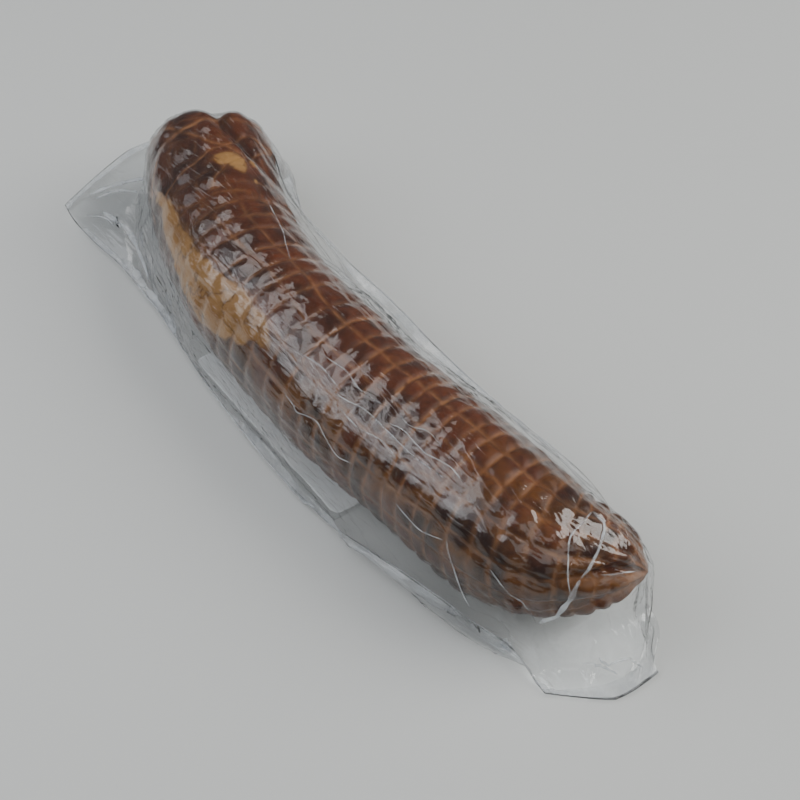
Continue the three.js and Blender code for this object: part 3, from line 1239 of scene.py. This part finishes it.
    def near_skin(self, points: np.ndarray, reach: float) -> np.ndarray:
        """Share of closeness to the sausage, 1 on it and 0 at reach from it."""
        off = np.array([self.skin_tree.find_nearest(row)[3] for row in points.reshape(-1, 3).tolist()])
        return np.clip(1 - off / reach, 0.0, 1.0).reshape(points.shape[:-1])

    def film(self, upper: bool, under: np.ndarray | None) -> np.ndarray:
        """Grid of points over one finished film.

        Args:
            upper: the upper film, or else the lower one.
            under: the lower film's grid, for the upper one to rest on.

        Returns:
            Rows by columns by x, y, z in millimetres.
        """
        self.space_lines(*self.drawn_grid)
        rough = self.tight_film(upper)
        held = np.zeros(self.drawn_grid, bool)
        held[[0, -1]] = True
        held[:, [0, -1]] = True
        if not upper:
            held |= self.near_skin(rough, 4.0) <= 0
        draw = VacuumDraw()
        skin, _ = self.sausage.closed_skin(200, 120)
        colliders = [draw.collider("skin_rest", skin, closed=True)]
        if upper:
            colliders.append(draw.collider("film_rest", under, closed=False))
        drawn = draw.draw(rough, held, colliders, 1.0 if upper else -1.0)
        calm = smooth_step(0.985, 0.86, np.linspace(0, 1, self.drawn_grid[1]))[None, :, None]
        drawn = rough + calm * limit_length(drawn - rough, 14.0)
        grid = refine(drawn, self.stations, self.points_across)
        free = (1 - self.near_skin(grid, 4.0))[..., None] * 0.85
        for _ in range(8):
            calmer = grid.copy()
            calmer[1:-1, 1:-1] = (grid[:-2, 1:-1] + grid[2:, 1:-1] + grid[1:-1, :-2] + grid[1:-1, 2:]) / 4
            grid = grid + free * (calmer - grid)
        grid = self.clear_of_skin(grid)
        return self.crinkle(grid, upper)

    def clear_of_skin(self, grid: np.ndarray) -> np.ndarray:
        """Moves the film's points out of the sausage where they dip into it.

        Args:
            grid: the film's points.

        Returns:
            The points moved.
        """
        moved = grid.reshape(-1, 3).copy()
        for number, row in enumerate(moved.tolist()):
            place, normal, _, off = self.skin_tree.find_nearest(row)
            depth = (Vector(row) - place).dot(normal)
            if depth < self.gap and off < 12.0:
                moved[number] = place + normal * self.gap
        return moved.reshape(grid.shape)

    def crinkle(self, grid: np.ndarray, upper: bool) -> np.ndarray:
        """Adds the small crinkles and the larger swells that the vacuum left in a film.

        Args:
            grid: the film's points, in millimetres.
            upper: whether it is the upper film.

        Returns:
            The points moved.
        """
        rows, columns = grid.shape[:2]
        along = np.linspace(0, 520, rows)[:, None] + np.zeros(columns)
        round_it = np.linspace(0, 220, columns)[None, :] + np.zeros((rows, 1))
        level = np.zeros((rows, columns))
        straight = np.stack([along, round_it * 5.5, level], axis=-1)
        seed = 1.0 if upper else 5.0
        slanted = np.stack([along * 1.6 + round_it, (round_it - 0.5 * along) * 2.6, level], axis=-1)
        lines = 1 - smooth_step(0.0, 0.13, np.abs(noise_at(straight, 26.0, seed)))
        crossing = 1 - smooth_step(0.0, 0.12, np.abs(noise_at(slanted, 30.0, seed + 1)))
        place = np.clip(noise_at(grid, 42.0, seed + 2) * 2.2 + 0.45, 0, 1)
        height = (0.66 * lines + 0.42 * crossing) * place
        edge = np.minimum(np.arange(columns) / 4.0, (columns - 1 - np.arange(columns)) / 14.0)
        ends = np.minimum(np.arange(rows), rows - 1 - np.arange(rows)) / 3.0
        fade = np.clip(edge, 0, 1)[None, :] * np.clip(ends, 0, 1)[:, None]
        free = 1 - self.near_skin(grid, 5.0)
        height = height * (1 + 0.2 * free)
        for path, width, tall in self.swells:
            corners = np.array([[*corner, 0.0] for corner in path], float) + self.sausage.shift
            way = smooth_curve(corners, 60)
            off = np.min(np.linalg.norm(grid[:, :, None, :2] - way[None, None, :, :2], axis=-1), axis=-1)
            height = height + tall * ridge(off, width) * free
        normal = surface_normals(grid)
        if not upper:
            normal = -normal * (1 - free)[..., None]
        return grid + normal * (height * fade)[..., None]

    def build(self) -> list[bpy.types.Object]:
        """Models both films and their creases, and stands them in for the plain ones."""
        finish = ClearFilm().material()
        skin, _ = self.sausage.closed_skin(300, 180)
        self.skin_tree = grid_tree(skin)
        lower = self.film(False, None)
        lower[..., 2] = np.maximum(lower[..., 2], 0.1)
        lower = self.clear_of_label(lower, -1.0)
        upper = self.film(True, lower)
        upper = self.clear_of_label(upper, 1.0)
        upper = self.clear_of_lower(upper, lower)
        cut = self.points_across // 2
        upper[-1, :cut:2, 0] += self.zigzag
        lower[-1, :cut:2, 0] += self.zigzag
        creases, seals = Creases(self, upper).build()
        films = []
        for points, name in ((upper, "upper_film"), (lower, "lower_film")):
            piece = grid_piece(name, points * MM)
            thicken(piece, self.thickness)
            dress(piece, finish, f"pouch_{name}")
            films.append(piece)
        return [*films, creases, seals]

    def clear_of_label(self, grid: np.ndarray, side: float) -> np.ndarray:
        """Keeps a film above or below the label where the label lies.

        Args:
            grid: the film's points.
            side: 1 for above the label and -1 for below it.

        Returns:
            The points moved.
        """
        label = self.label.grid()
        x, y = label[..., 0], label[..., 1]
        over = (grid[..., 0] > x.min() - 2) & (grid[..., 0] < x.max() + 2)
        over &= (grid[..., 1] > y.min() - 2) & (grid[..., 1] < y.max() + 1)
        down = np.clip(grid[..., 1] - y.min(), 0, None)
        level = np.interp(down.reshape(-1), y[0] - y.min(), label[..., 2].max(axis=0)).reshape(down.shape)
        moved = grid.copy()
        if side > 0:
            moved[..., 2] = np.where(over, np.maximum(grid[..., 2], level + 0.45), grid[..., 2])
        else:
            limit = self.label.height - 0.45
            moved[..., 2] = np.where(over, np.minimum(grid[..., 2], limit), grid[..., 2])
            beyond = over & (grid[..., 1] > y.min() + 45)
            moved[..., 2] = np.where(beyond, grid[..., 2], moved[..., 2])
        return moved

    def clear_of_lower(self, upper: np.ndarray, lower: np.ndarray) -> np.ndarray:
        """Keeps the upper film a little above the lower film where the two lie on each other.

        Args:
            upper: the upper film's points.
            lower: the lower film's points.

        Returns:
            The upper film's points, moved.
        """
        tree = grid_tree(lower)
        moved = upper.reshape(-1, 3).copy()
        for number, (x, y, z) in enumerate(moved.tolist()):
            place = tree.ray_cast((x, y, z + 8.0), (0, 0, -1), 9.0)[0]
            if place is not None:
                moved[number, 2] = max(z, place.z + self.gap)
        return moved.reshape(upper.shape)


def surface_normals(points: np.ndarray) -> np.ndarray:
    """Unit normals of a grid of points."""
    normal = np.cross(np.gradient(points, axis=0), np.gradient(points, axis=1))
    return normal / np.maximum(np.linalg.norm(normal, axis=-1, keepdims=True), 1e-9)


def limit_length(moves: np.ndarray, longest: float) -> np.ndarray:
    """Shortens the moves that are longer than a limit."""
    length = np.linalg.norm(moves, axis=-1, keepdims=True)
    return moves * np.minimum(1.0, longest / np.maximum(length, 1e-9))


def refine(grid: np.ndarray, rows: int, columns: int) -> np.ndarray:
    """A finer grid on smooth curves through a coarser one's points.

    Args:
        grid: rows by columns by x, y, z.
        rows: how many rows to give.
        columns: how many columns to give.

    Returns:
        The finer grid.
    """
    longer = smooth_curve(grid.reshape(grid.shape[0], -1), rows).reshape(rows, grid.shape[1], 3)
    turned = longer.transpose(1, 0, 2)
    finer = smooth_curve(turned.reshape(grid.shape[1], -1), columns).reshape(columns, rows, 3)
    return finer.transpose(1, 0, 2)


def grid_tree(points: np.ndarray) -> BVHTree:
    """A search tree over a grid of points, for finding the nearest place on its surface.

    Args:
        points: rows by columns by x, y, z.

    Returns:
        The tree.
    """
    rows, columns = points.shape[:2]
    first = (np.arange(rows - 1)[:, None] * columns + np.arange(columns - 1)).reshape(-1)
    faces = np.stack([first, first + 1, first + columns + 1, first + columns], axis=1)
    return BVHTree.FromPolygons(points.reshape(-1, 3).tolist(), faces.tolist())


@dataclass
class Creases:
    """Pinched pleats and welts that stand on the upper film; their whitish finish is painted highlight for
    the glints on the folds.

    Skin paths give distance along the sausage and degrees round it; flap paths give x and y.
    """

    pouch: Pouch
    film: np.ndarray
    sides: int = 10
    seal_side: float = -0.28
    skin_paths: tuple = (
        (((424, 76), (421, 94), (418, 110), (420, 130), (422, 148), (424, 162)), 0.9, 0.8),
        (((424, 76), (431, 83), (433, 94), (432, 112), (430, 132), (427, 146)), 1.7, 1.4),
        (((427, 146), (425, 160), (423, 172), (420, 184), (414, 200)), 3.0, 1.9),
        (((368, 156), (375, 172), (381, 190), (386, 204)), 0.8, 0.8),
        (((436, 140), (443, 138), (450, 134), (455, 132)), 1.0, 0.7),
        (((254, 127), (270, 124), (286, 120), (310, 122), (331, 123), (352, 120)), 0.55, 0.5),
        (((300, 106), (312, 109), (322, 104), (336, 107)), 0.5, 0.4),
        (((232, 150), (248, 156), (262, 150), (280, 161), (296, 158)), 0.55, 0.5),
        (((101, 58), (133, 60), (167, 74)), 0.5, 0.4),
        (((228, 122), (244, 118), (262, 121)), 0.5, 0.4),
        (((236, 112), (258, 108), (272, 112), (292, 109)), 0.5, 0.4),
        (((296, 118), (312, 114), (330, 117), (346, 113), (362, 116)), 0.55, 0.5),
        (((270, 131), (288, 133), (304, 129), (318, 132)), 0.5, 0.4),
        (((330, 160), (350, 164), (366, 158)), 0.6, 0.5),
        (((392, 158), (400, 168), (408, 186), (411, 202)), 0.6, 0.5),
    )
    flap_paths: tuple = (
        (((-252, -67), (-249, -55), (-243, -43), (-235, -31)), 3.2, 1.8),
        (((-246, -66), (-241, -52), (-229, -42)), 2.2, 1.5),
        (((-232, -68), (-219, -66), (-200, -62), (-180, -65), (-160, -70)), 3.4, 1.2),
        (((-238, -78), (-226, -70), (-216, -69)), 1.2, 0.9),
        (((-190, -80), (-176, -80), (-162, -82)), 5.0, 0.8),
        (((-163, -81), (-140, -82), (-118, -86)), 5.0, 0.8),
        (((20, -91), (33, -88), (47, -90)), 2.4, 1.4),
        (((186, -52), (182, -59), (182, -65), (190, -66)), 2.6, 2.2),
        (((214, -22), (226, -20), (240, -13)), 1.4, 1.2),
        (((218, -34), (226, -30), (236, -27)), 1.2, 1.0),
    )

    def settle(self, way: np.ndarray, lift: float) -> tuple[np.ndarray, np.ndarray]:
        """Lays a path on the film.

        Args:
            way: points near the film.
            lift: how far off the film the path lies.

        Returns:
            The path's points and the film's normals there.
        """
        tree = grid_tree(self.film)
        spots, normals = [], []
        for row in way.tolist():
            place, normal, _, _ = tree.find_nearest(row)
            facing = -normal
            spots.append(np.array(place) + np.array(facing) * lift)
            normals.append(np.array(facing))
        spots, normals = np.array(spots), np.array(normals)
        for _ in range(3):
            spots[1:-1] = (spots[:-2] + 2 * spots[1:-1] + spots[2:]) / 4
            normals[1:-1] = (normals[:-2] + 2 * normals[1:-1] + normals[2:]) / 4
        return spots, normals / np.linalg.norm(normals, axis=1, keepdims=True)

    def pleat(self, name: str, way: np.ndarray, width: float, height: float) -> bpy.types.Object:
        """One pinched pleat: a rounded ridge that thins out at both ends.

        Args:
            name: the pleat's name.
            way: its path, near the film.
            width: its full width.
            height: its full height.

        Returns:
            The pleat's piece.
        """
        spots, up = self.settle(way, height / 2 + 0.12)
        forward = np.gradient(spots, axis=0)
        forward /= np.linalg.norm(forward, axis=1, keepdims=True)
        aside = np.cross(up, forward)
        share = np.linspace(0.0, 1.0, len(spots))
        taper = np.sqrt(np.clip(1 - np.abs(2 * share - 1) ** 4, 0.0, 1.0)) + 0.02
        taper = taper * (1 + 0.22 * np.sin(share * 19 + width * 7))
        turn = np.linspace(0.0, FULL_TURN, self.sides + 1)
        wide = np.cos(turn)[None, :, None] * (aside * (taper * width / 2)[:, None])[:, None, :]
        tall = np.sin(turn)[None, :, None] * (up * (taper * height / 2)[:, None])[:, None, :]
        ring = spots[:, None, :] + wide + tall
        ring[:, -1] = ring[:, 0]
        ring[0] = spots[0]
        ring[-1] = spots[-1]
        return grid_piece(name, ring * MM, closed=True)

    def seal(self, rows: slice, columns: slice) -> bpy.types.Object:
        """A strip of heat seal, which lies on part of the film.

        Args:
            rows: the film's rows that it covers.
            columns: the film's columns that it covers.

        Returns:
            The strip's piece.
        """
        lifted = self.film - surface_normals(self.film) * self.seal_side
        piece = grid_piece("seal_strip", lifted[rows, columns] * MM)
        thicken(piece, 0.08)
        return piece

    def joined(self, name: str, pieces: list, finish: bpy.types.Material) -> bpy.types.Object:
        """Joins pieces into one that rides with the pack.

        Args:
            name: the joined piece's name.
            pieces: the pieces.
            finish: its material.

        Returns:
            The joined piece.
        """
        bpy.ops.object.select_all(action="DESELECT")
        for piece in pieces:
            piece.select_set(True)
        bpy.context.view_layer.objects.active = pieces[0]
        bpy.ops.object.join()
        whole = bpy.context.object
        whole.name = whole.data.name = name
        dress(whole, finish)
        return whole

    def build(self) -> list[bpy.types.Object]:
        """Models every pleat, the welts along the seams and the heat seals."""
        pieces = []
        sausage = self.pouch.sausage
        for path, width, height in self.skin_paths:
            way = smooth_curve(np.array(path, float), 46)
            near = sausage.plain_skin(way[:, 0], np.radians(way[:, 1]))
            pieces.append(self.pleat("skin_pleat", near, width, height))
        for path, width, height in self.flap_paths:
            corners = np.array([[*corner, 4.0] for corner in path], float) + sausage.shift
            pieces.append(self.pleat("flap_pleat", smooth_curve(corners, 40), width, height))
        for column in (-1, -6):
            pieces.append(self.pleat("seam_welt", self.film[18:-70:2, column], 0.7, 0.6))
        pieces.append(self.pleat("seam_welt", self.film[6:-6:2, 0], 0.7, 0.6))
        seals = [
            self.seal(slice(150, None), slice(0, 8)),
            self.seal(slice(20, 150), slice(0, 5)),
            self.seal(slice(70, -75), slice(-6, None)),
            self.seal(slice(-6, None), slice(0, None)),
            self.seal(slice(0, 5), slice(0, None)),
        ]
        return [
            # The pleats and welts get a whitish hazy finish: painted highlight for the glints on the film's
            # folds.
            self.joined("film_creases_painted_glint", pieces, HazeAndPaintedGlintFilm(0.36, "pinched_film_painted_glint").material()),
            self.joined("heat_seals", seals, HazeAndPaintedGlintFilm(0.2, "sealed_film").material()),
        ]


# ---- the studio ---------------------------------------------------------------------


@dataclass
class Studio:
    """Floor, soft lamps and camera."""

    aim: tuple[float, float, float] = (0.0148, 0.0235, 0.0)
    toward_camera: tuple[float, float, float] = (0.518, -0.3805, 0.766)
    camera_distance: float = 1.484
    lens: float = 110.5
    lit_point: tuple[float, float, float] = (0, 0, 0.03)
    lamps: tuple = (
        ("overhead_softbox", (-0.50, -0.62, 1.0), (1.6, 1.25), 5.2, (0.94, 0.95, 1.0)),
        ("upper_strip", (-0.52, -0.28, 0.98), (1.5, 0.28), 2.0, (1.0, 0.98, 0.96)),
        ("lower_strip", (-0.62, -0.98, 0.92), (1.4, 0.28), 2.0, (0.96, 0.97, 1.0)),
        ("window_panel", (-0.95, -1.40, 0.85), (1.1, 0.6), 2.6, (0.96, 0.98, 1.0)),
        ("front_fill", (1.0, -0.55, 1.4), (1.3, 1.3), 5.0, (1.0, 0.99, 0.96)),
        ("back_key", (0.75, 1.15, 1.2), (1.3, 1.3), 25, (1.0, 0.98, 0.94)),
    )

    def floor(self) -> None:
        """Lays the pale floor."""
        bpy.ops.object.select_all(action="DESELECT")
        bpy.ops.mesh.primitive_plane_add(size=12, location=(0, 0, 0))
        floor = bpy.context.object
        floor.name = "floor"
        floor.data.materials.append(PaleFloor().material())

    def lamp(self, name: str, place: tuple, size: tuple, power: float, colour: tuple) -> None:
        """Adds one large soft lamp.

        Args:
            name: the lamp's name.
            place: where it is, in metres.
            size: its two sides, in metres.
            power: its power in watts.
            colour: its colour.
        """
        data = bpy.data.lights.new(name, "AREA")
        data.shape = "RECTANGLE"
        data.size, data.size_y = size
        data.energy = power
        data.color = colour
        lamp = bpy.data.objects.new(name, data)
        bpy.context.scene.collection.objects.link(lamp)
        lamp.location = place
        lamp.rotation_euler = (Vector(place) - Vector(self.lit_point)).to_track_quat("Z", "Y").to_euler()
        lamp.visible_camera = False

    def lights(self) -> None:
        """Hangs the lamps and sets the dim, even surroundings."""
        for row in self.lamps:
            self.lamp(*row)
        world = bpy.data.worlds.new("surroundings")
        bpy.context.scene.world = world
        world.use_nodes = True
        background = world.node_tree.nodes["Background"]
        background.inputs["Color"].default_value = (0.80, 0.82, 0.84, 1)
        background.inputs["Strength"].default_value = 0.2

    def camera(self) -> None:
        """Sets the camera up to look down on the pack."""
        data = bpy.data.cameras.new("camera")
        data.lens = self.lens
        data.clip_end = 50
        camera = bpy.data.objects.new("camera", data)
        bpy.context.scene.collection.objects.link(camera)
        aim = Vector(self.aim)
        camera.location = aim + Vector(self.toward_camera).normalized() * self.camera_distance
        camera.rotation_euler = (camera.location - aim).to_track_quat("Z", "Y").to_euler()
        bpy.context.scene.camera = camera

    def build(self) -> None:
        """Sets the whole studio up."""
        self.floor()
        self.lights()
        self.camera()


def main() -> None:
    """Builds the pack and its studio, and reports each piece."""
    logging.basicConfig(level=logging.INFO)
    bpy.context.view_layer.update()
    bpy.ops.object.select_all(action="DESELECT")
    sausage = Sausage()
    label = Label(sausage)
    pouch = Pouch(sausage, label)
    pieces = [sausage.build(), *pouch.build(), label.build()]
    for piece in pieces:
        LOG.info("%s: %d faces", piece.name, len(piece.data.polygons))
    Studio().build()


if __name__ == "__main__":
    main()
